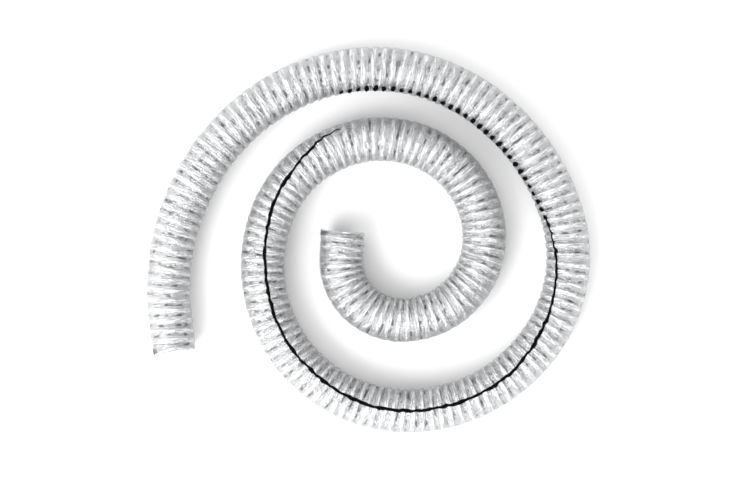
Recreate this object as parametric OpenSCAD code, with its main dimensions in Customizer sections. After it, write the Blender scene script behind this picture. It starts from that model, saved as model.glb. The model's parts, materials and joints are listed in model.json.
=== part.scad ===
// Flexible air duct, lying on the floor as a clockwise spiral.
// A spring-wire helix runs between an inner liner and an outer wrap of
// aluminised glass cloth, and a black bead seals the wrap's long lap.
// The plies are continuous. They are split into seven lengths that keep their
// shape and six flex zones between them, where the duct bends.
// Frame: origin at the middle of the footprint on the floor, +Z up, mm.

/* [Duct] */
// Clear bore of the liner
bore_d = 50; // [32:0.5:76]
// Thickness of the inner liner
liner_t = 0.3; // [0.2:0.05:0.6]
// Diameter of the spring wire
wire_d = 1.4; // [1:0.1:2]
// Thickness of the outer wrap
wrap_t = 0.4; // [0.2:0.05:0.8]

/* [Wire pitch] */
// Pitch of the wire at the outer end
outer_pitch = 12.4; // [9:0.1:16]
// Pitch of the wire at the inner end
inner_pitch = 10.6; // [8:0.1:16]

/* [Sealing bead] */
// Width of the sealing bead
bead_w = 2.8; // [1.5:0.1:5]
// Height of the sealing bead
bead_h = 0.9; // [0.5:0.1:2]

/* [Hidden] */
// Heading of the duct as it leaves its outer end, degrees from +X
outer_heading = 98;
// The two stretches of each length: [turns of wire, bend radius], 0 is straight
length_bends = [
  [[3, 0], [16, 285]],
  [[13, 255], [13, 225]],
  [[13, 270], [13, 180]],
  [[13, 205], [14, 180]],
  [[14, 180], [14, 145]],
  [[14, 125], [16, 103]],
  [[8, 73], [3, 0]]
];
// Bend radius of each flex zone, and the turns of wire in it
flex_bends = [280, 245, 200, 180, 145, 80];
flex_turns = 4;
// The length that stays still, counted from 0: flex zones belong to the
// neighbour on its side
still_length = 3;
// Where the bead lies: [turn of the wire, degrees from the top], + is outwards
bead_lie = [[0, -125], [30, -80], [45, -63], [63, -66], [71, -38], [86, -4], [100, -4],
            [108, -10], [122, -10], [128, 1], [133, 14], [136, 27], [138, 42], [140, 50],
            [145, 100], [191, 125]];
// Turns left bare between the bead's ends and the straight stretch at each mouth
bead_bare = 0.5;

// Play between the wire and the plies, on the liner side and the wrap side
liner_play = 0.25;
wrap_play = 0.35;
// Gap left between a flex zone and the length that moves away from it
split_gap = 0.2;
// Half turns of wire stop short of each other by this angle, inside a weld
wire_stop = 0.4;
weld_proud = 0.1;
// The bead lies this far off the wrap
bead_lift = 0.34;
// Steps along each bend when the footprint is measured
footprint_steps = 60;

bore_r = bore_d / 2;
liner_r = bore_r + liner_t;
wire_r = wire_d / 2;
coil_r = liner_r + liner_play + wire_r;
wrap_bore_r = coil_r + wire_r + wrap_play;
duct_r = wrap_bore_r + wrap_t;
lengths = len(length_bends);

// Every stretch in order, as [turns, bend radius]
function with_flex(i) = i < lengths - 1
  ? concat(length_bends[i], [[flex_turns, flex_bends[i]]]) : length_bends[i];
stretches = [for (i = [0 : lengths - 1]) each with_flex(i)];
count = len(stretches);

// Running total of a list of numbers, from 0
function totals(v) = [for (i = 0, t = 0; i <= len(v); t = t + (i < len(v) ? v[i] : 0), i = i + 1) t];
turn_at = totals([for (s = stretches) s[0]]);
all_turns = turn_at[count];

// Distance along the duct to a turn of the wire: the pitch changes evenly
function along(k) = outer_pitch * k + (inner_pitch - outer_pitch) * k * k / (2 * all_turns);
function stretch_len(i) = along(turn_at[i + 1]) - along(turn_at[i]);

// A place is [x, y, heading]. Moving on by a distance follows a clockwise bend.
function moved_on(p, dist, bend) = bend == 0
  ? [p[0] + dist * cos(p[2]), p[1] + dist * sin(p[2]), p[2]]
  : let (h = p[2] - deg(dist / bend))
    [p[0] + bend * (sin(p[2]) - sin(h)), p[1] + bend * (cos(h) - cos(p[2])), h];
function deg(radians) = radians * 180 / PI;
laid = [for (i = 0, p = [0, 0, outer_heading]; i <= count;
             p = i < count ? moved_on(p, stretch_len(i), stretches[i][1]) : p, i = i + 1) p];

// The footprint's middle, from points along the middle line
edge = [for (i = [0 : count - 1], j = [0 : footprint_steps])
        moved_on(laid[i], stretch_len(i) * j / footprint_steps, stretches[i][1])];
xs = [for (p = edge) p[0]];
ys = [for (p = edge) p[1]];
shift = [-(min(xs) + max(xs)) / 2, -(min(ys) + max(ys)) / 2, 0];
starts = [for (p = laid) p + shift];

// Stretch that holds a turn of the wire, and the place at that turn
function holder(k, i = 0) = i == count - 1 || k < turn_at[i + 1] ? i : holder(k, i + 1);
function place(k) = let (i = holder(k))
  moved_on(starts[i], along(k) - along(turn_at[i]), stretches[i][1]);

// Each length is two stretches, and all but the last are followed by a flex zone
function first_of(i) = 3 * i;
function flex_of(i) = 3 * i + 2;
// A flex zone stops short of the length that moves away from it
function gap_before(i) = i < still_length ? split_gap : 0;
function gap_after(i) = i < still_length ? 0 : split_gap;

// A round rod that comes along its bend and ends at the origin, heading +X
module rod_in(run, bend, r) {
  if (bend == 0)
    rotate([0, -90, 0]) cylinder(h = run, r = r, $fn = 64);
  else
    translate([0, -bend, 0]) rotate([0, 0, 90])
      rotate_extrude(angle = deg(run / bend), $fn = 180)
        translate([bend, 0]) circle(r = r, $fn = 64);
}

module rod_out(run, bend, r) mirror([1, 0, 0]) rod_in(run, bend, r);

// Its two stretches meet at the origin, so their end faces match exactly
module rod_pair(i, r) {
  rod_in(stretch_len(i), stretches[i][1], r);
  rod_out(stretch_len(i + 1), stretches[i + 1][1], r);
}

module at_place(p) translate([p[0], p[1], duct_r]) rotate([0, 0, p[2]]) children();

module length_ply(i, r_in, r_out) {
  at_place(starts[first_of(i) + 1]) difference() {
    rod_pair(first_of(i), r_out);
    rod_pair(first_of(i), r_in);
  }
}

module flex_ply(i, r_in, r_out) {
  bend = flex_bends[i];
  run = stretch_len(flex_of(i)) - split_gap;
  at_place(moved_on(starts[flex_of(i)], gap_before(i), bend)) difference() {
    rod_out(run, bend, r_out);
    rod_out(run, bend, r_in);
  }
}

// Half a turn of wire, from the top down the outside or up the inside
module half_turn(k, down) {
  a = place(k);
  b = place(k + 0.5);
  step = norm([b[0] - a[0], b[1] - a[1]]);
  tilt = atan2(step, 2 * coil_r);
  translate([(a[0] + b[0]) / 2, (a[1] + b[1]) / 2, duct_r])
    rotate([0, 0, atan2(b[1] - a[1], b[0] - a[0])])
      rotate([0, down ? 90 - tilt : 90 + tilt, 0])
        rotate([0, 0, (down ? 0 : 180) + wire_stop])
          rotate_extrude(angle = 180 - 2 * wire_stop, $fn = 72)
            translate([norm([coil_r, step / 2]), 0]) circle(r = wire_r, $fn = 16);
}

// A round weld over the gap between two half turns. Its seam faces along the duct,
// away from the wire, which crosses the duct here.
module weld(k, top) {
  p = place(k);
  translate([p[0], p[1], duct_r + (top ? coil_r : -coil_r)]) rotate([0, 0, p[2]])
    sphere(r = wire_r + weld_proud, $fn = 24);
}

// Wire from one half turn to another, both counted from the outer end
module helix(first, last) {
  for (n = [first : last - 1]) half_turn(n / 2, n % 2 == 0);
  for (n = [first + 1 : last - 1]) weld(n / 2, n % 2 == 0);
}

// The bead's section as [across, out from the wrap]
bead_section = [[-bead_w / 2, 0], [-bead_w * 0.36, bead_h * 0.7], [-bead_w * 0.14, bead_h],
                [bead_w * 0.14, bead_h], [bead_w * 0.36, bead_h * 0.7], [bead_w / 2, 0]];

function bead_point(k, q) = let (
    p = place(k),
    lie = lookup(k, bead_lie),
    out = duct_r + bead_lift + q[1],
    side = out * sin(lie) + q[0] * cos(lie),
    up = out * cos(lie) - q[0] * sin(lie))
  [p[0] - side * sin(p[2]), p[1] + side * cos(p[2]), duct_r + up];

module bead(k0, k1) {
  n = len(bead_section);
  ks = [k0, each [for (k = [ceil(k0 + 0.5) : floor(k1 - 0.5)]) k], k1];
  rings = len(ks);
  points = [for (k = ks) for (q = bead_section) bead_point(k, q)];
  sides = [for (r = [0 : rings - 2]) for (j = [0 : n - 1])
           let (a = r * n + j, b = r * n + (j + 1) % n) each [[a, b, b + n], [a, b + n, a + n]]];
  polyhedron(points, concat([[for (j = [n - 1 : -1 : 0]) j]], sides,
                            [[for (j = [0 : n - 1]) (rings - 1) * n + j]]));
}

module outer_wrap(i) color("gainsboro") length_ply(i, wrap_bore_r, duct_r);
module inner_liner(i) color("silver") length_ply(i, bore_r, liner_r);

// The wire stops half a turn short of each mouth
module wire_helix(i) color("slategray")
  helix(2 * turn_at[first_of(i)] + (i == 0 ? 1 : 0),
        2 * turn_at[first_of(i) + 2] - (i == lengths - 1 ? 1 : 0));

// The bead leaves both straight mouths bare, so that a clip can sit round them
module seam_bead(i) color("black")
  bead(i == 0 ? turn_at[1] + bead_bare : turn_at[first_of(i)],
       i == lengths - 1 ? turn_at[first_of(i) + 1] - bead_bare : turn_at[first_of(i) + 2]);

module flex_wrap(i) color("gainsboro") flex_ply(i, wrap_bore_r, duct_r);
module flex_liner(i) color("silver") flex_ply(i, bore_r, liner_r);

module flex_wire(i) color("slategray")
  helix(2 * turn_at[flex_of(i)], 2 * turn_at[flex_of(i) + 1]);

module flex_bead(i) color("black")
  bead(turn_at[flex_of(i)] + gap_before(i) / outer_pitch,
       turn_at[flex_of(i) + 1] - gap_after(i) / outer_pitch);

for (i = [1 : lengths]) {
  outer_wrap(i - 1);
  inner_liner(i - 1);
  wire_helix(i - 1);
  seam_bead(i - 1);
}
for (i = [1 : lengths - 1]) {
  flex_wrap(i - 1);
  flex_liner(i - 1);
  flex_wire(i - 1);
  flex_bead(i - 1);
}
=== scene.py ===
"""A flexible air duct, lying on the floor as a spiral and cut plain at both mouths.

Its outer wrap of aluminised cloth is held open by a spring-wire helix round an inner
liner, and a black bead seals the wrap's long lap. The plies are made in six spans. Each
span crosses one of the six joints and bends there.
"""

import json
import math

import bpy
import numpy as np
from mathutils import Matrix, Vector


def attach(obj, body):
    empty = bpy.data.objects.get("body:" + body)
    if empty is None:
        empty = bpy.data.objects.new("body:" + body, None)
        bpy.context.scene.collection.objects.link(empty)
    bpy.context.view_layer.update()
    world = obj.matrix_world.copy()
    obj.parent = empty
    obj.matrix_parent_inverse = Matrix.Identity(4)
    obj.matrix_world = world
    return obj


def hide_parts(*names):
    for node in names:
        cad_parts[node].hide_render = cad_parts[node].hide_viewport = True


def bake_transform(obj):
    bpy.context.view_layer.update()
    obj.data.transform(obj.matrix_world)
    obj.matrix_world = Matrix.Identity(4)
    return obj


bl_info = {
    "name": "Flexible Air Duct",
    "version": (1, 0, 0),
    "blender": (4, 5, 0),
    "location": "View3D > Sidebar > Air Duct",
    "description": "A spiral of flexible air duct, with its wrap, liner, spring wire and sealing bead",
    "category": "Object",
}

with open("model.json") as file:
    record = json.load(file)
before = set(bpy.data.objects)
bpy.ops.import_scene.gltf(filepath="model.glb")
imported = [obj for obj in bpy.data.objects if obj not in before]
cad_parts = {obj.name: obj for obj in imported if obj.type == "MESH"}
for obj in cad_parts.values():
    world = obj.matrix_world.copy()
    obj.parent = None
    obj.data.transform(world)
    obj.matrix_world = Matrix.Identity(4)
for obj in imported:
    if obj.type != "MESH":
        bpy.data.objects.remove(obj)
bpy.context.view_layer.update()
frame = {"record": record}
MOUNTS = {m["name"]: m for m in frame["record"]["mounts"]}

# The two stretches of each length, then the flex zones between the lengths, as
# (turns of wire, bend radius in metres). A radius of 0 is straight.
LENGTH_BENDS = [
    [(3, 0), (16, 0.285)],
    [(13, 0.255), (13, 0.225)],
    [(13, 0.270), (13, 0.180)],
    [(13, 0.205), (14, 0.180)],
    [(14, 0.180), (14, 0.145)],
    [(14, 0.125), (16, 0.103)],
    [(8, 0.073), (3, 0)],
]
FLEX_BENDS = [0.280, 0.245, 0.200, 0.180, 0.145, 0.080]
FLEX_TURNS = 4

# The turns where one span ends and the next begins, each in the middle of a length
SPAN_TURNS = [0, 34, 66, 97, 128, 159, 191]

# Where the bead lies, as (turn of the wire, degrees from the top). Outwards is positive.
BEAD_LIE = [(0, -125), (30, -80), (45, -63), (63, -66), (71, -38), (86, -4), (100, -4),
            (108, -10), (122, -10), (128, 1), (133, 14), (136, 27), (138, 42), (140, 50),
            (145, 100), (191, 125)]
BEAD_TURNS = (3.5, 187.5)
# The bead is pressed flat until the first of these turns. From the second it buckles out
# in a knot between each two ridges, and from the third to the fourth it becomes a line.
BEAD_KNOTS = (35, 37.5, 60, 72)
# It thins out between these turns, where the lap folds over it
BEAD_THIN = (136.5, 141)

# Points round the duct, and rows of points to each turn of wire
COLUMNS = 112
OUTSIDE_ROWS = 20
INSIDE_ROWS = 6
LINER_ROWS = 8
WIRE_STEPS, WIRE_SIDES = 28, 8
BEAD_STEPS = 16

# The bead's section, as degrees round from one edge. The last two lie in the cloth.
BEAD_SECTION = (0, 35, 70, 110, 145, 180, 235, 305)

# Loose threads at each mouth, how many of them make the thick tuft, and where that lies
THREADS, TUFT_THREADS, TUFT_ANGLE = 64, 44, 1.15
# A thread's radius, and the lowest its middle line may lie above the floor
THREAD_RADIUS, THREAD_LOWEST = 0.00016, 0.0003


class DuctSizes(bpy.types.PropertyGroup):
    """The duct's real sizes, as in its CAD model"""

    bore_radius: bpy.props.FloatProperty(
        name="Bore radius", description="Inner radius of the liner", default=0.025, subtype="DISTANCE")
    liner_wall: bpy.props.FloatProperty(
        name="Liner wall", description="Thickness of the liner", default=0.0003, subtype="DISTANCE")
    liner_play: bpy.props.FloatProperty(
        name="Liner play", description="Gap from the liner to the wire", default=0.00025,
        subtype="DISTANCE")
    wire_radius: bpy.props.FloatProperty(
        name="Wire radius", description="Radius of the spring wire", default=0.0007, subtype="DISTANCE")
    wrap_play: bpy.props.FloatProperty(
        name="Wrap play", description="Gap from the wire to the wrap on a ridge", default=0.00035,
        subtype="DISTANCE")
    wrap_wall: bpy.props.FloatProperty(
        name="Wrap wall", description="Thickness of the outer wrap", default=0.0004, subtype="DISTANCE")
    outer_pitch: bpy.props.FloatProperty(
        name="Outer pitch", description="Pitch of the wire at the outer end", default=0.0124,
        subtype="DISTANCE")
    inner_pitch: bpy.props.FloatProperty(
        name="Inner pitch", description="Pitch of the wire at the inner end", default=0.0106,
        subtype="DISTANCE")
    bead_width: bpy.props.FloatProperty(
        name="Bead width", description="Width of the sealing bead", default=0.0043,
        subtype="DISTANCE")
    bead_height: bpy.props.FloatProperty(
        name="Bead height", description="Height of the sealing bead", default=0.0011,
        subtype="DISTANCE")
    knot_width: bpy.props.FloatProperty(
        name="Knot width", description="Width of the knot where the squeezed bead buckles out",
        default=0.0100, subtype="DISTANCE")
    knot_height: bpy.props.FloatProperty(
        name="Knot height", description="Height of that knot", default=0.0034, subtype="DISTANCE")


class ClothSizes(bpy.types.PropertyGroup):
    """How the wrap's cloth dips, creases and wrinkles between the turns of wire"""

    dip: bpy.props.FloatProperty(
        name="Dip", description="How far the cloth dips between two ridges, on top", default=0.00145,
        subtype="DISTANCE")
    dip_lean: bpy.props.FloatProperty(
        name="Dip lean", description="How much deeper it dips inside the bend, and shallower outside",
        default=0.00040, subtype="DISTANCE")
    crease_back: bpy.props.FloatProperty(
        name="Crease place", description="How far behind a ridge its crease runs, as a share of the pitch",
        default=0.30, min=0.1, max=0.9)
    crinkle: bpy.props.FloatProperty(
        name="Crinkle", description="Depth of the wrinkles that run round the duct", default=0.00052,
        subtype="DISTANCE")
    lump: bpy.props.FloatProperty(
        name="Lump", description="Depth of the broad dents", default=0.00045, subtype="DISTANCE")
    lap_rise: bpy.props.FloatProperty(
        name="Lap rise", description="Step where the wrap laps over itself under the bead",
        default=0.00025, subtype="DISTANCE")
    mouth_taper: bpy.props.FloatProperty(
        name="Mouth taper", description="How far the outer mouth is drawn in", default=0.0008,
        subtype="DISTANCE")
    thread_pitch: bpy.props.FloatProperty(
        name="Thread pitch", description="Distance from thread to thread of the cloth", default=0.0012,
        subtype="DISTANCE")


class DuctColours(bpy.types.PropertyGroup):
    """The colours of the duct's finishes"""

    wrap: bpy.props.FloatVectorProperty(
        name="Wrap", description="Aluminised cloth", default=(0.47, 0.474, 0.48), subtype="COLOR")
    liner: bpy.props.FloatVectorProperty(
        name="Liner", description="Coated cloth of the liner", default=(0.52, 0.53, 0.54),
        subtype="COLOR")
    wire: bpy.props.FloatVectorProperty(
        name="Wire", description="Drawn spring steel", default=(0.42, 0.43, 0.45), subtype="COLOR")
    bead: bpy.props.FloatVectorProperty(
        name="Bead", description="Black sealing bead", default=(0.0015, 0.0015, 0.0017), subtype="COLOR")
    thread: bpy.props.FloatVectorProperty(
        name="Thread", description="Frayed threads at the cut mouths", default=(0.10, 0.10, 0.105),
        subtype="COLOR")


class StageLook(bpy.types.PropertyGroup):
    """The camera, the floor and the studio light"""

    view_centre: bpy.props.FloatVectorProperty(
        name="View centre", description="Where the camera looks", size=3,
        default=(0.0084, -0.0112, 0.0277), subtype="TRANSLATION")
    view_width: bpy.props.FloatProperty(
        name="View width", description="Width of the view at the duct's middle height", default=0.9303,
        subtype="DISTANCE")
    camera_height: bpy.props.FloatProperty(
        name="Camera height", description="Height of the camera", default=3.2, subtype="DISTANCE")
    floor: bpy.props.FloatVectorProperty(
        name="Floor", description="Plain pale floor", default=(0.95, 0.95, 0.95), subtype="COLOR")
    panel_power: bpy.props.FloatProperty(
        name="Panel power", description="Power of the panel low on the left", default=66.0, unit="POWER")
    sky_top: bpy.props.FloatProperty(
        name="Sky top", description="Brightness straight above", default=1.30)
    sky_rim: bpy.props.FloatProperty(
        name="Sky rim", description="Brightness near the floor all round", default=2.15)
    unlit: bpy.props.FloatProperty(
        name="Unlit side", description="Brightness of the unlit corner of the room", default=0.05)


class Route:
    """The duct's middle line, by turns of the wire counted from the outer end."""

    def __init__(self, size):
        stretches = []
        for index, bends in enumerate(LENGTH_BENDS):
            stretches += bends
            if index < len(FLEX_BENDS):
                stretches.append((FLEX_TURNS, FLEX_BENDS[index]))
        self.size = size
        self.turns = np.cumsum([0] + [turns for turns, _ in stretches])
        self.curve = np.array([1 / bend if bend else 0.0 for _, bend in stretches])
        self.starts = self.along(self.turns)
        self.duct_radius = (size.bore_radius + size.liner_wall + size.liner_play + 2 * size.wire_radius
                            + size.wrap_play + size.wrap_wall)
        mouth = MOUNTS["outer_mouth"]
        out = np.array(mouth["axis"])
        first = np.array(mouth["pos_m"]) + out * self.starts[1] / 2
        x, y, heading = first[0], first[1], math.atan2(-out[1], -out[0])
        self.laid = [(x, y, heading)]
        for run, curve in zip(np.diff(self.starts), self.curve):
            x, y, heading = self.moved_on(x, y, heading, run, curve)
            self.laid.append((x, y, heading))
        self.laid = np.array(self.laid)

    def along(self, turn):
        """The distance to a turn. The pitch changes evenly from end to end."""
        change = (self.size.inner_pitch - self.size.outer_pitch) / (2 * self.turns[-1])
        return self.size.outer_pitch * turn + change * turn * turn

    @staticmethod
    def moved_on(x, y, heading, run, curve):
        """The place a distance on, round a clockwise bend or straight ahead."""
        turned = heading - run * curve
        bend = 1 / np.where(curve > 0, curve, 1.0)
        ahead_x = np.where(curve > 0, bend * (np.sin(heading) - np.sin(turned)), run * np.cos(heading))
        ahead_y = np.where(curve > 0, bend * (np.cos(turned) - np.cos(heading)), run * np.sin(heading))
        return x + ahead_x, y + ahead_y, turned

    def place(self, turn):
        """The middle line's x, y and heading at each turn."""
        turn = np.asarray(turn, float)
        held = np.clip(np.searchsorted(self.turns, turn, side="right") - 1, 0, len(self.curve) - 1)
        x, y, heading = self.laid[held].T if held.ndim == 1 else np.moveaxis(self.laid[held], -1, 0)
        return self.moved_on(x, y, heading, self.along(turn) - self.starts[held], self.curve[held])

    def point(self, turn, angle, radius):
        """The point at an angle from the top, outwards positive, and a radius from the middle line."""
        x, y, heading = self.place(turn)
        side, up = radius * np.sin(angle), radius * np.cos(angle)
        return np.stack([x - side * np.sin(heading), y + side * np.cos(heading),
                         self.duct_radius + up], axis=-1)

    def middle(self, turn):
        """The middle line's point at each turn."""
        return self.point(turn, 0.0, 0.0 * np.asarray(turn, float))


def smoothstep(low, high, value):
    """0 up to low, 1 from high, and smooth between them."""
    share = np.clip((value - low) / (high - low), 0, 1)
    return share * share * (3 - 2 * share)


def noise(seed, rows, row, columns, angle):
    """Smooth noise from -1 to 1, with a lattice row a unit and so many columns round the duct."""
    lattice = np.random.default_rng(seed).uniform(-1, 1, (rows, columns))
    column = (angle / (2 * math.pi) % 1.0) * columns
    i, j = np.floor(row).astype(int), np.floor(column).astype(int)
    f, g = smoothstep(0, 1, row - i), smoothstep(0, 1, column - j)
    lower = lattice[i % rows, j % columns] * (1 - g) + lattice[i % rows, (j + 1) % columns] * g
    upper = lattice[(i + 1) % rows, j % columns] * (1 - g) + lattice[(i + 1) % rows, (j + 1) % columns] * g
    return lower * (1 - f) + upper * f


def bead_angle(turn):
    """Where the bead lies, in radians from the top."""
    turns, degrees = zip(*BEAD_LIE)
    return np.radians(np.interp(turn, turns, degrees))


class Cloth:
    """The wrap's outer surface: ridges over the wire, creases, wrinkles and dents."""

    def __init__(self, route, size):
        self.route, self.size = route, size

    def phase(self, turn, angle):
        """Turns along the wire's own helix, so that every whole number is a ridge."""
        wander = 0.045 * noise(11, 400, turn * 1.3, 7, angle) * self.fade(angle)
        return turn - angle / (2 * math.pi) + wander

    @staticmethod
    def fade(angle):
        """1 all round but under the duct, where the cloth lies flat on the floor."""
        return smoothstep(-1.0, -0.75, np.cos(angle))

    def crest(self, turn, angle):
        """1 along each ridge and 0 in the crease behind it."""
        t = (self.phase(turn, angle) + 0.5) % 1.0 - 0.5
        behind = self.size.crease_back
        t = np.where(t < -behind, t + 1, t)
        warped = np.where(t < 0, t * 0.5 / behind, t * 0.5 / (1 - behind))
        return np.abs(np.cos(math.pi * warped)) ** 0.85

    def radius(self, turn, angle):
        """The surface's radius from the middle line, and its crest."""
        size, route = self.size, self.route
        turn, angle = np.broadcast_arrays(np.asarray(turn, float), np.asarray(angle, float))
        crest, fade = self.crest(turn, angle), self.fade(angle)
        helix = turn - angle / (2 * math.pi)
        inside = 0.5 - 0.5 * np.sin(angle)
        depth = (size.dip + size.dip_lean * (2 * inside - 1)) * (
            1 + 0.40 * noise(12, 400, turn * 1.1, 7, angle) * fade)
        wrinkle = (noise(13, 1200, helix * 5.0 + 3, 9, angle)
                   + 0.55 * noise(14, 2400, helix * 9.0 + 5, 13, angle))
        slack = (0.25 + 0.75 * (1 - crest)) * (0.55 + 0.9 * inside)
        dents = noise(15, 150, turn * 0.45, 5, angle)
        radius = (route.duct_radius - depth * (1 - crest)
                  + fade * (size.crinkle * slack * wrinkle - size.lump * (0.5 + 0.5 * dents) * 0.8)
                  + self.lap(turn, angle) - self.drawn_in(turn))
        duct = route.size
        least = duct.bore_radius + duct.liner_wall + duct.wrap_wall + 0.00005
        return np.maximum(radius, least), crest

    def lap(self, turn, angle):
        """The lap's upper layer ends under the bead, and its step dies away round the duct."""
        reach = 0.55
        past = angle - bead_angle(turn)
        return self.size.lap_rise * smoothstep(-0.03, 0.03, past) * (1 - smoothstep(0.1, reach, past))

    def drawn_in(self, turn):
        """The outer mouth is a little smaller than the rest."""
        return self.size.mouth_taper * (1 - smoothstep(0, 2.2, turn)) ** 1.5

    def ragged(self, turn, angle):
        """How far the cut edges wander along the duct, in turns."""
        last = self.route.turns[-1]
        edge = (1 - smoothstep(0, 0.5, turn)) + smoothstep(last - 0.5, last, turn)
        return edge * 0.06 * (noise(16, 400, turn * 0 + 9.5 + (turn > 9), 21, angle) + 0.4)

    def point(self, turn, angle, lift=0.0):
        """Points on the surface, or lifted off it, and the crest there."""
        turn, angle = np.broadcast_arrays(np.asarray(turn, float), np.asarray(angle, float))
        radius, crest = self.radius(turn, angle)
        last = self.route.turns[-1]
        shift = self.ragged(turn, angle) * np.where(turn > last / 2, -1, 1)
        return self.route.point(turn + shift, angle, radius + lift), crest


def piece_from(name, points, faces, uv=None, crest=None):
    """A smooth mesh piece. uv has a value for each point, in metres."""
    mesh = bpy.data.meshes.new(name)
    mesh.vertices.add(len(points))
    mesh.vertices.foreach_set("co", np.asarray(points, np.float32).ravel())
    mesh.loops.add(faces.size)
    mesh.loops.foreach_set("vertex_index", faces.astype(np.int32).ravel())
    mesh.polygons.add(len(faces))
    mesh.polygons.foreach_set("loop_start", np.arange(0, faces.size, faces.shape[1], dtype=np.int32))
    mesh.polygons.foreach_set("loop_total", np.full(len(faces), faces.shape[1], np.int32))
    mesh.update(calc_edges=True)
    mesh.validate()
    mesh.polygons.foreach_set("use_smooth", np.ones(len(mesh.polygons), bool))
    if uv is not None:
        layer = mesh.uv_layers.new(name="cloth")
        layer.data.foreach_set("uv", uv.reshape(-1, 2)[faces.ravel()].astype(np.float32).ravel())
    if crest is not None:
        shade = mesh.attributes.new("crest", "FLOAT", "POINT")
        shade.data.foreach_set("value", crest.astype(np.float32).ravel())
    piece = bpy.data.objects.new(name, mesh)
    bpy.context.collection.objects.link(piece)
    return piece


def grid_faces(rows, columns, first=0, inward=False):
    """Quads of a grid of points whose columns close round the duct."""
    i, j = np.meshgrid(np.arange(rows - 1), np.arange(columns), indexing="ij")
    a, b = first + i * columns + j, first + i * columns + (j + 1) % columns
    quads = np.stack([a, b, b + columns, a + columns], -1).reshape(-1, 4)
    return quads[:, ::-1] if inward else quads


def rim_faces(outside, inside, columns, at_start):
    """Quads across the wall's thickness, from one ring of points to another."""
    j = np.arange(columns)
    k = (j + 1) % columns
    quads = np.stack([outside + j, inside + j, inside + k, outside + k], -1)
    return quads if at_start else quads[:, ::-1]


def wall(name, outside, inside, uv_outside, uv_inside, crest_outside, crest_inside):
    """A closed wall of cloth between two grids of points that have the same columns."""
    rows, columns = outside.shape[:2]
    inner_rows = inside.shape[0]
    first = rows * columns
    faces = np.concatenate([
        grid_faces(rows, columns),
        grid_faces(inner_rows, columns, first, inward=True),
        rim_faces(0, first, columns, at_start=True),
        rim_faces(first - columns, first + (inner_rows - 1) * columns, columns, at_start=False),
    ])
    both = [np.concatenate([a.reshape(-1, a.shape[-1]), b.reshape(-1, b.shape[-1])])
            for a, b in ((outside, inside), (uv_outside, uv_inside))]
    crest = np.concatenate([crest_outside.ravel(), crest_inside.ravel()])
    return piece_from(name, both[0], faces, both[1], crest)


def grid(first, last, rows_a_turn, columns):
    """Turns and angles of a grid, from the bottom round to the bottom again."""
    rows = int(round((last - first) * rows_a_turn)) + 1
    turn = np.linspace(first, last, rows)[:, None]
    angle = (np.arange(columns) / columns * 2 - 1)[None, :] * math.pi
    return np.broadcast_arrays(turn, angle)


def cloth_uv(route, turn, angle):
    """Distance round the duct and distance along it."""
    return np.stack([angle * route.duct_radius, route.along(turn)], axis=-1)


def join_span(piece, route, index, *plies):
    """Bakes a span piece's placement into its mesh, and hides the CAD nodes that it stands for."""
    turn = (route.turns[3 * index + 2] + route.turns[3 * index + 3]) / 2
    _, _, heading = route.place(turn)
    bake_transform(piece)
    number = index + 1
    nodes = [f"{kind}_{number}" for kind in plies]
    if number == len(FLEX_BENDS):
        nodes.append(f"{plies[0]}_{number + 1}")
    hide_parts(*nodes)


class Value:
    """A socket in a node tree that takes plain arithmetic, which adds its Math nodes."""

    def __init__(self, nodes, socket):
        self.nodes, self.socket = nodes, socket

    def math(self, operation, *terms):
        return self.nodes.add("ShaderNodeMath", {"operation": operation}, dict(enumerate(terms)))

    def __add__(self, other):
        return self.math("ADD", self, other)

    def __sub__(self, other):
        return self.math("SUBTRACT", self, other)

    def __rsub__(self, other):
        return self.math("SUBTRACT", other, self)

    def __mul__(self, other):
        return self.math("MULTIPLY", self, other)

    __radd__, __rmul__ = __add__, __mul__

    def sine(self):
        return self.math("SINE", self)

    def clamped(self):
        return self.nodes.add("ShaderNodeClamp", {}, {"Value": self})

    def above(self, level, gain):
        """0 below the level, then rising by the gain until it reaches 1."""
        return ((self - level) * gain).clamped()


class Nodes:
    """A material's or world's node tree, and the one way that a node is added to it."""

    def __init__(self, owner):
        owner.use_nodes = True
        self.tree = owner.node_tree
        self.shader = next(n for n in self.tree.nodes if n.type in ("BSDF_PRINCIPLED", "BACKGROUND"))

    def add(self, kind, settings, inputs, output=0):
        node = self.tree.nodes.new(kind)
        for name, value in settings.items():
            setattr(node, name, value)
        for name, value in inputs.items():
            self.feed(node.inputs[name], value)
        return Value(self, node.outputs[output])

    def feed(self, socket, value):
        if isinstance(value, Value):
            self.tree.links.new(value.socket, socket)
        elif value is not None:
            socket.default_value = value

    def blend(self, share, low, high):
        """A colour from low to high as the share goes from 0 to 1."""
        return self.add("ShaderNodeMix", {"data_type": "RGBA"}, {0: share, 6: low, 7: high}, output=2)

    def noise(self, place, scale, detail=2.0, stretch=(1, 1, 1)):
        """Noise from about 0 to 1, stretched along the place's own axes."""
        moved = self.add("ShaderNodeMapping", {}, {"Vector": place, "Scale": stretch})
        return self.add("ShaderNodeTexNoise", {}, {"Vector": moved, "Scale": scale, "Detail": detail})

    def bump(self, height, distance, strength=1.0):
        self.feed(self.shader.inputs["Normal"], self.add(
            "ShaderNodeBump", {}, {"Height": height, "Distance": distance, "Strength": strength}))

    def set(self, **inputs):
        for name, value in inputs.items():
            self.feed(self.shader.inputs[name.replace("_", " ")], value)


def tint(colour, by=1.0):
    """A colour with alpha, made lighter or darker."""
    return (*[min(1.0, c * by) for c in colour], 1.0)


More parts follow.
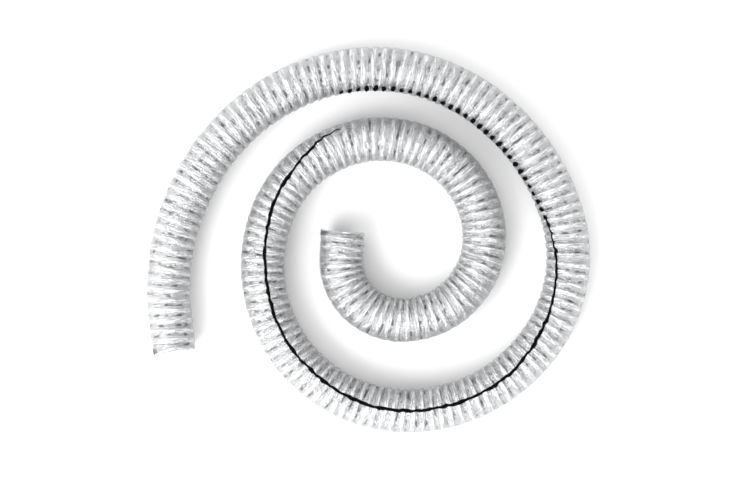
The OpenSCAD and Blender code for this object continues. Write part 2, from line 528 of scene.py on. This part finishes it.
def weave(nodes, pitch):
    """Over and under of a plain weave, from -1 to 1, on the piece's own cloth map."""
    uv = nodes.add("ShaderNodeUVMap", {"uv_map": "cloth"}, {})
    parts = [nodes.add("ShaderNodeSeparateXYZ", {}, {0: uv}, output=axis) for axis in (0, 1)]
    across, along = [(part * (math.pi / pitch)).sine() for part in parts]
    return uv, across * along


def wrap_finish(colour, pitch):
    """Aluminised glass cloth: bright metal, with a painted highlight in streaks along its ridges and painted
    shade in broken creases.
    """
    material = bpy.data.materials.new("aluminised_cloth")
    nodes = Nodes(material)
    uv, threads = weave(nodes, pitch)
    crest = nodes.add("ShaderNodeAttribute", {"attribute_name": "crest"}, {}, output="Fac")
    streaks = nodes.noise(uv, 420.0, 2.0, stretch=(0.16, 1.0, 1.0))
    breaks = nodes.noise(uv, 95.0, 1.0, stretch=(1.0, 0.7, 1.0))
    patches = nodes.noise(uv, 60.0, 2.0)
    speckle = nodes.noise(uv, 520.0, 1.0)
    fine = nodes.noise(uv, 900.0, 1.0, stretch=(0.35, 1.0, 1.0))

    broken = breaks.above(0.46, 9.0)
    # Painted shade: the colour is darkened in broken streaks in the creases behind the ridges; the same mask
    # also raises the roughness.
    crease = ((0.60 - crest) * 3.6).clamped() * streaks.above(0.44, 7.0) * broken
    # Painted highlight: the colour is lightened in streaks along the ridges' crests, standing in for glints
    # of light.
    painted_ridge_highlight = crest.above(0.78, 8.0) * streaks.above(0.42, 6.0)
    wear = patches.above(0.42, 3.0)
    pale = nodes.blend(wear, tint(colour, 0.90), tint(colour, 1.06))
    bright = nodes.blend(painted_ridge_highlight, pale, tint(colour, 1.55))
    grained = nodes.blend(speckle.above(0.52, 5.0) * 0.6, bright, tint(colour, 0.60))
    # The creases' painted shade darkens the colour almost to black.
    crease_shaded = nodes.blend(crease * 0.85, grained, tint(colour, 0.13))
    nodes.set(Base_Color=crease_shaded, Metallic=0.92 - 0.2 * wear, Roughness=0.16 + 0.08 * wear + 0.3 * crease)
    nodes.bump(threads * 0.6 + speckle * 1.8 + fine * 3.0 + streaks * 9.0, 0.00036, 1.0)
    return material


def liner_finish(colour, pitch):
    """Coated cloth, duller than the wrap, with the same weave showing through."""
    material = bpy.data.materials.new("coated_liner")
    nodes = Nodes(material)
    uv, threads = weave(nodes, pitch)
    dust = nodes.noise(uv, 60.0, 4.0)
    nodes.set(Base_Color=nodes.blend(dust, tint(colour, 0.75), tint(colour, 1.15)), Metallic=0.25,
              Roughness=0.5 + 0.2 * dust)
    nodes.bump(threads, 0.0002, 0.6)
    return material


def wire_finish(colour):
    """Drawn spring steel with fine marks along it."""
    material = bpy.data.materials.new("spring_steel")
    nodes = Nodes(material)
    place = nodes.add("ShaderNodeTexCoord", {}, {}, output="Object")
    marks = nodes.noise(place, 900.0, 3.0)
    nodes.set(Base_Color=nodes.blend(marks, tint(colour, 0.7), tint(colour, 1.2)), Metallic=1.0,
              Roughness=0.28 + 0.2 * marks)
    nodes.bump(marks, 0.00005, 0.5)
    return material


def bead_finish(colour):
    """Satin black sealant, a little uneven."""
    material = bpy.data.materials.new("black_bead")
    nodes = Nodes(material)
    place = nodes.add("ShaderNodeTexCoord", {}, {}, output="Object")
    skin = nodes.noise(place, 420.0, 3.0)
    nodes.set(Base_Color=nodes.blend(skin, tint(colour, 0.6), tint(colour, 1.8)),
              Roughness=0.7 + 0.2 * skin)
    nodes.feed(nodes.shader.inputs["Specular IOR Level"], 0.04)
    nodes.bump(skin, 0.0003, 0.5)
    return material


def thread_finish(colour):
    """Loose glass threads, greyed by handling."""
    material = bpy.data.materials.new("loose_threads")
    nodes = Nodes(material)
    place = nodes.add("ShaderNodeTexCoord", {}, {}, output="Object")
    grime = nodes.noise(place, 300.0, 2.0)
    grimy = nodes.blend(grime, tint(colour, 0.5), tint(colour, 2.2))
    nodes.set(Base_Color=grimy, Roughness=0.6 + 0.1 * grime)
    return material


def floor_finish(colour):
    """Plain matt floor."""
    material = bpy.data.materials.new("floor")
    nodes = Nodes(material)
    nodes.set(Base_Color=tint(colour), Roughness=0.9)
    nodes.feed(nodes.shader.inputs["Specular IOR Level"], 0.0)
    return material


def clear_selection():
    """Nothing selected, as an operator acts on all that is."""
    if bpy.context.object and bpy.context.object.mode != "OBJECT":
        bpy.ops.object.mode_set(mode="OBJECT")
    bpy.ops.object.select_all(action="DESELECT")


def studio_sky(look):
    """A bright room with one unlit corner, half way up behind the duct and to its right."""
    world = bpy.data.worlds.new("studio")
    bpy.context.scene.world = world
    nodes = Nodes(world)
    way = nodes.add("ShaderNodeTexCoord", {}, {}, output="Generated")
    height = nodes.add("ShaderNodeSeparateXYZ", {}, {0: way}, output=2)
    unlit = Vector((0.55, 0.50, 0.67)).normalized()
    facing = nodes.add("ShaderNodeVectorMath", {"operation": "DOT_PRODUCT"},
                       {0: way, 1: tuple(unlit)}, output="Value")
    room = nodes.blend(height.above(0.35, 2.5), (look.sky_rim,) * 3 + (1,), (look.sky_top,) * 3 + (1,))
    lit = nodes.blend(facing.above(0.84, 11.0), room, (look.unlit,) * 3 + (1,))
    nodes.feed(nodes.shader.inputs["Color"], lit)


def add_camera(look):
    """The camera, straight above and level with the floor's axes."""
    centre = Vector(look.view_centre)
    clear_selection()
    bpy.ops.object.camera_add(location=(centre.x, centre.y, look.camera_height), rotation=(0, 0, 0))
    camera = bpy.context.object
    camera.name = "camera"
    camera.data.sensor_width = 36.0
    camera.data.lens = camera.data.sensor_width * (look.camera_height - centre.z) / look.view_width
    bpy.context.scene.camera = camera


def add_floor(look):
    """The plain floor."""
    clear_selection()
    bpy.ops.mesh.primitive_plane_add(size=12.0, location=(0, 0, 0))
    floor = bpy.context.object
    floor.name = "floor"
    floor.data.materials.append(floor_finish(look.floor))


def add_panel(look):
    """The square panel low on the left, facing the duct."""
    away = Vector((-1.5, -1.4, 1.75))
    clear_selection()
    bpy.ops.object.light_add(type="AREA", location=away, rotation=away.to_track_quat("Z", "Y").to_euler())
    panel = bpy.context.object
    panel.name = "left_panel"
    panel.data.shape, panel.data.size = "SQUARE", 2.0
    panel.data.energy = look.panel_power


class DUCT_OT_stage(bpy.types.Operator):
    """Adds the camera straight above, the floor, the panel on the left and the room's soft light"""

    bl_idname = "duct.stage"
    bl_label = "Stage"

    def execute(self, context):
        look = context.scene.stage_look
        add_camera(look)
        add_floor(look)
        add_panel(look)
        studio_sky(look)
        context.scene.view_settings.view_transform = "Standard"
        return {"FINISHED"}


class DUCT_OT_wrap(bpy.types.Operator):
    """Makes the outer wrap: six spans of ridged, creased cloth with a real wall"""

    bl_idname = "duct.wrap"
    bl_label = "Outer wrap"

    def execute(self, context):
        scene = context.scene
        route = Route(scene.duct_sizes)
        cloth = Cloth(route, scene.cloth_sizes)
        finish = wrap_finish(scene.duct_colours.wrap, scene.cloth_sizes.thread_pitch)
        for index, (first, last) in enumerate(zip(SPAN_TURNS, SPAN_TURNS[1:])):
            turn, angle = grid(first, last, OUTSIDE_ROWS, COLUMNS)
            outside, crest = cloth.point(turn, angle)
            back_turn, back_angle = grid(first, last, INSIDE_ROWS, COLUMNS)
            inside, back_crest = cloth.point(back_turn, back_angle, -scene.duct_sizes.wrap_wall)
            piece = wall(f"wrap_{index + 1}", outside, inside, cloth_uv(route, turn, angle),
                         cloth_uv(route, back_turn, back_angle), crest, back_crest)
            piece.data.materials.append(finish)
            join_span(piece, route, index, "outer_wrap", "flex_wrap")
            line = route.middle(np.linspace(first, last, 4 * (last - first) + 1))
            run = float(route.along(last) - route.along(first))
        return {"FINISHED"}


class DUCT_OT_liner(bpy.types.Operator):
    """Makes the inner liner: six spans of coated cloth, drawn in a little at each turn of wire"""

    bl_idname = "duct.liner"
    bl_label = "Inner liner"

    def execute(self, context):
        scene = context.scene
        size = scene.duct_sizes
        route = Route(size)
        cloth = Cloth(route, scene.cloth_sizes)
        finish = liner_finish(scene.duct_colours.liner, scene.cloth_sizes.thread_pitch)
        columns = COLUMNS // 2
        for index, (first, last) in enumerate(zip(SPAN_TURNS, SPAN_TURNS[1:])):
            turn, angle = grid(first, last, LINER_ROWS, columns)
            crest = cloth.crest(turn, angle)
            bore = size.bore_radius - 0.00012 * crest + 0.00010 * noise(21, 600, turn * 2.5, 9, angle)
            inside = route.point(turn, angle, bore)
            outside = route.point(turn, angle, bore + size.liner_wall)
            uv = cloth_uv(route, turn, angle)
            piece = wall(f"liner_{index + 1}", outside, inside, uv, uv, crest, crest)
            piece.data.materials.append(finish)
            join_span(piece, route, index, "inner_liner", "flex_liner")
        return {"FINISHED"}


def tube(name, line, section):
    """A closed tube: section has a ring of points for each point of the line."""
    rings, sides = section.shape[:2]
    points = np.concatenate([section.reshape(-1, 3), line[[0, -1]]])
    quads = grid_faces(rings, sides)
    j = np.arange(sides)
    k = (j + 1) % sides
    end, first_tip = (rings - 1) * sides, np.full(sides, rings * sides)
    caps = [np.stack([k, j, first_tip], -1), np.stack([j + end, k + end, first_tip + 1], -1)]
    return piece_from(name, points, np.concatenate([quads[:, [0, 1, 2]], quads[:, [0, 2, 3]], *caps]))


def coil_rings(route, turn, coil, radius):
    """The wire's middle line and the rings of points round it."""
    line = route.point(turn, turn * 2 * math.pi, coil + 0 * turn)
    out = line - route.middle(turn)
    out /= np.linalg.norm(out, axis=1, keepdims=True)
    ahead = np.gradient(line, axis=0)
    ahead /= np.linalg.norm(ahead, axis=1, keepdims=True)
    across = np.cross(ahead, out)
    way = (np.arange(WIRE_SIDES) / WIRE_SIDES * 2 * math.pi)[None, :, None]
    ring = out[:, None] * np.cos(way) + across[:, None] * np.sin(way)
    return line, line[:, None] + ring * radius


class DUCT_OT_wire(bpy.types.Operator):
    """Makes the spring-wire helix in six spans, half a turn short of each mouth"""

    bl_idname = "duct.wire"
    bl_label = "Spring wire"

    def execute(self, context):
        scene = context.scene
        size = scene.duct_sizes
        route = Route(size)
        finish = wire_finish(scene.duct_colours.wire)
        coil = size.bore_radius + size.liner_wall + size.liner_play + size.wire_radius
        for index, (first, last) in enumerate(zip(SPAN_TURNS, SPAN_TURNS[1:])):
            first = first + 0.5 if index == 0 else first
            last = last - 0.5 if index == len(FLEX_BENDS) - 1 else last
            turn = np.linspace(first, last, int(round((last - first) * WIRE_STEPS)) + 1)
            piece = tube(f"wire_{index + 1}", *coil_rings(route, turn, coil, size.wire_radius))
            piece.data.materials.append(finish)
            join_span(piece, route, index, "wire_helix", "flex_wire")
        return {"FINISHED"}


def bead_rings(route, cloth, size, turn):
    """Rings of points along the bead, each the section pressed onto the cloth."""
    angle = bead_angle(turn) + 0.03 * noise(31, 800, turn * 2.1, 1, 0 * turn)
    radius, crest = cloth.radius(turn, angle)
    swell = (1 + 0.30 * noise(32, 900, turn * 1.7, 1, 0 * turn)
             + 0.12 * noise(33, 900, turn * 4.1, 1, 0 * turn))
    dotted = 1 - smoothstep(*BEAD_KNOTS[2:], turn)
    knot = dotted * smoothstep(0.12, 0.60, 1 - crest) * np.clip(swell, 0.7, 1.2)
    knot *= smoothstep(*BEAD_KNOTS[:2], turn)
    sunk = dotted * (1 - smoothstep(0.0, 0.3, knot))
    thin = smoothstep(*BEAD_THIN, turn)

    half = size.bead_width / 2 * swell * (1 - 0.55 * sunk) * (1 - 0.7 * thin)
    half = half + knot * (size.knot_width - size.bead_width) / 2
    rise = size.bead_height * swell * (1 - 0.6 * np.maximum(sunk, thin))
    rise = rise + knot * (size.knot_height - size.bead_height)
    base = radius - 0.0002 - 0.0009 * np.maximum(sunk, smoothstep(0.75, 1.0, thin))

    section = np.radians(np.array(BEAD_SECTION))
    side = half[:, None] * np.cos(section)[None, :]
    up = np.where(np.sin(section) > 0, rise[:, None], 0.0004) * np.sin(section)[None, :]
    lie = angle[:, None] + side / radius[:, None]
    return route.point(turn[:, None] + 0 * lie, lie, base[:, None] + up)


class DUCT_OT_bead(bpy.types.Operator):
    """Makes the black sealing bead along the lap, knotted between the ridges in its first part"""

    bl_idname = "duct.bead"
    bl_label = "Sealing bead"

    def execute(self, context):
        scene = context.scene
        size = scene.duct_sizes
        route = Route(size)
        cloth = Cloth(route, scene.cloth_sizes)
        finish = bead_finish(scene.duct_colours.bead)
        for index, (first, last) in enumerate(zip(SPAN_TURNS, SPAN_TURNS[1:])):
            first, last = max(first, BEAD_TURNS[0]), min(last, BEAD_TURNS[1])
            turn = np.linspace(first, last, int(round((last - first) * BEAD_STEPS)) + 1)
            rings = bead_rings(route, cloth, size, turn)
            piece = tube(f"bead_{index + 1}", rings.mean(axis=1), rings)
            piece.data.materials.append(finish)
            join_span(piece, route, index, "seam_bead", "flex_bead")
        return {"FINISHED"}


def thread_line(route, cloth, rng, edge, inwards, near):
    """Points along one loose thread, from where it lies on the cloth to its free end."""
    share = np.linspace(0, 1, 5)
    angle = TUFT_ANGLE + rng.normal(0, 0.17) if near else rng.uniform(-math.pi, math.pi)
    back = rng.uniform(0.05, 0.55 if near else 0.12)
    reach = rng.uniform(0.15, 0.38) if near else back + rng.uniform(0.04, 0.10)
    turns = edge + inwards * (back - reach * share)
    sway = angle + rng.normal(0, 0.16 if near else 0.05) * share
    bow = abs(rng.normal(0, 0.0006)) * share ** 2
    lie, _ = cloth.radius(np.maximum(inwards * (turns - edge), 0.02) * inwards + edge, sway)
    points = route.point(turns, sway, lie + 0.0001 + bow)
    points[:, 2] = np.maximum(points[:, 2], THREAD_LOWEST)
    return points


def piece_from_lines(name, lines, radius):
    """A mesh piece of round threads, one along each line of points."""
    curve = bpy.data.curves.new(name, "CURVE")
    curve.dimensions, curve.bevel_depth, curve.bevel_resolution = "3D", radius, 1
    curve.use_fill_caps = True
    for line in lines:
        spline = curve.splines.new("POLY")
        spline.points.add(len(line) - 1)
        for target, point in zip(spline.points, line):
            target.co = (*point, 1.0)
    piece = bpy.data.objects.new(name, curve)
    bpy.context.collection.objects.link(piece)
    clear_selection()
    piece.select_set(True)
    bpy.context.view_layer.objects.active = piece
    bpy.ops.object.convert(target="MESH")
    return bpy.context.object


class DUCT_OT_threads(bpy.types.Operator):
    """Makes the short loose threads round both cut mouths, thickest at the outer side"""

    bl_idname = "duct.threads"
    bl_label = "Frayed threads"

    def execute(self, context):
        scene = context.scene
        route = Route(scene.duct_sizes)
        cloth = Cloth(route, scene.cloth_sizes)
        finish = thread_finish(scene.duct_colours.thread)
        mouths = (("outer_threads", "length_1", 0.0, 1),
                  ("inner_threads", "length_7", float(route.turns[-1]), -1))
        for name, body, edge, inwards in mouths:
            rng = np.random.default_rng(41 + inwards)
            lines = [thread_line(route, cloth, rng, edge, inwards, n < TUFT_THREADS) for n in range(THREADS)]
            piece = piece_from_lines(name, lines, THREAD_RADIUS)
            piece.data.materials.append(finish)
            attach(piece, body)
        return {"FINISHED"}


class DUCT_PT_panel(bpy.types.Panel):
    """Lists the duct's pieces in the 3D view's sidebar"""

    bl_label = "Air Duct"
    bl_space_type = "VIEW_3D"
    bl_region_type = "UI"
    bl_category = "Air Duct"

    def draw(self, context):
        for operator in OPERATORS:
            self.layout.operator(operator.bl_idname)
        for group in PROPERTIES:
            box = self.layout.box()
            for name in PROPERTIES[group].__annotations__:
                box.prop(getattr(context.scene, group), name)


OPERATORS = (DUCT_OT_stage, DUCT_OT_wrap, DUCT_OT_liner, DUCT_OT_wire, DUCT_OT_bead, DUCT_OT_threads)
PROPERTIES = {"duct_sizes": DuctSizes, "cloth_sizes": ClothSizes, "duct_colours": DuctColours,
              "stage_look": StageLook}
CLASSES = (*PROPERTIES.values(), *OPERATORS, DUCT_PT_panel)


def register():
    for cls in CLASSES:
        bpy.utils.register_class(cls)
    for name, group in PROPERTIES.items():
        setattr(bpy.types.Scene, name, bpy.props.PointerProperty(type=group))


def unregister():
    for name in PROPERTIES:
        delattr(bpy.types.Scene, name)
    for cls in reversed(CLASSES):
        bpy.utils.unregister_class(cls)


def main():
    """Makes the whole scene."""
    register()
    bpy.ops.duct.stage()
    bpy.ops.duct.wrap()
    bpy.ops.duct.liner()
    bpy.ops.duct.wire()
    bpy.ops.duct.bead()
    bpy.ops.duct.threads()


if __name__ == "__main__":
    main()
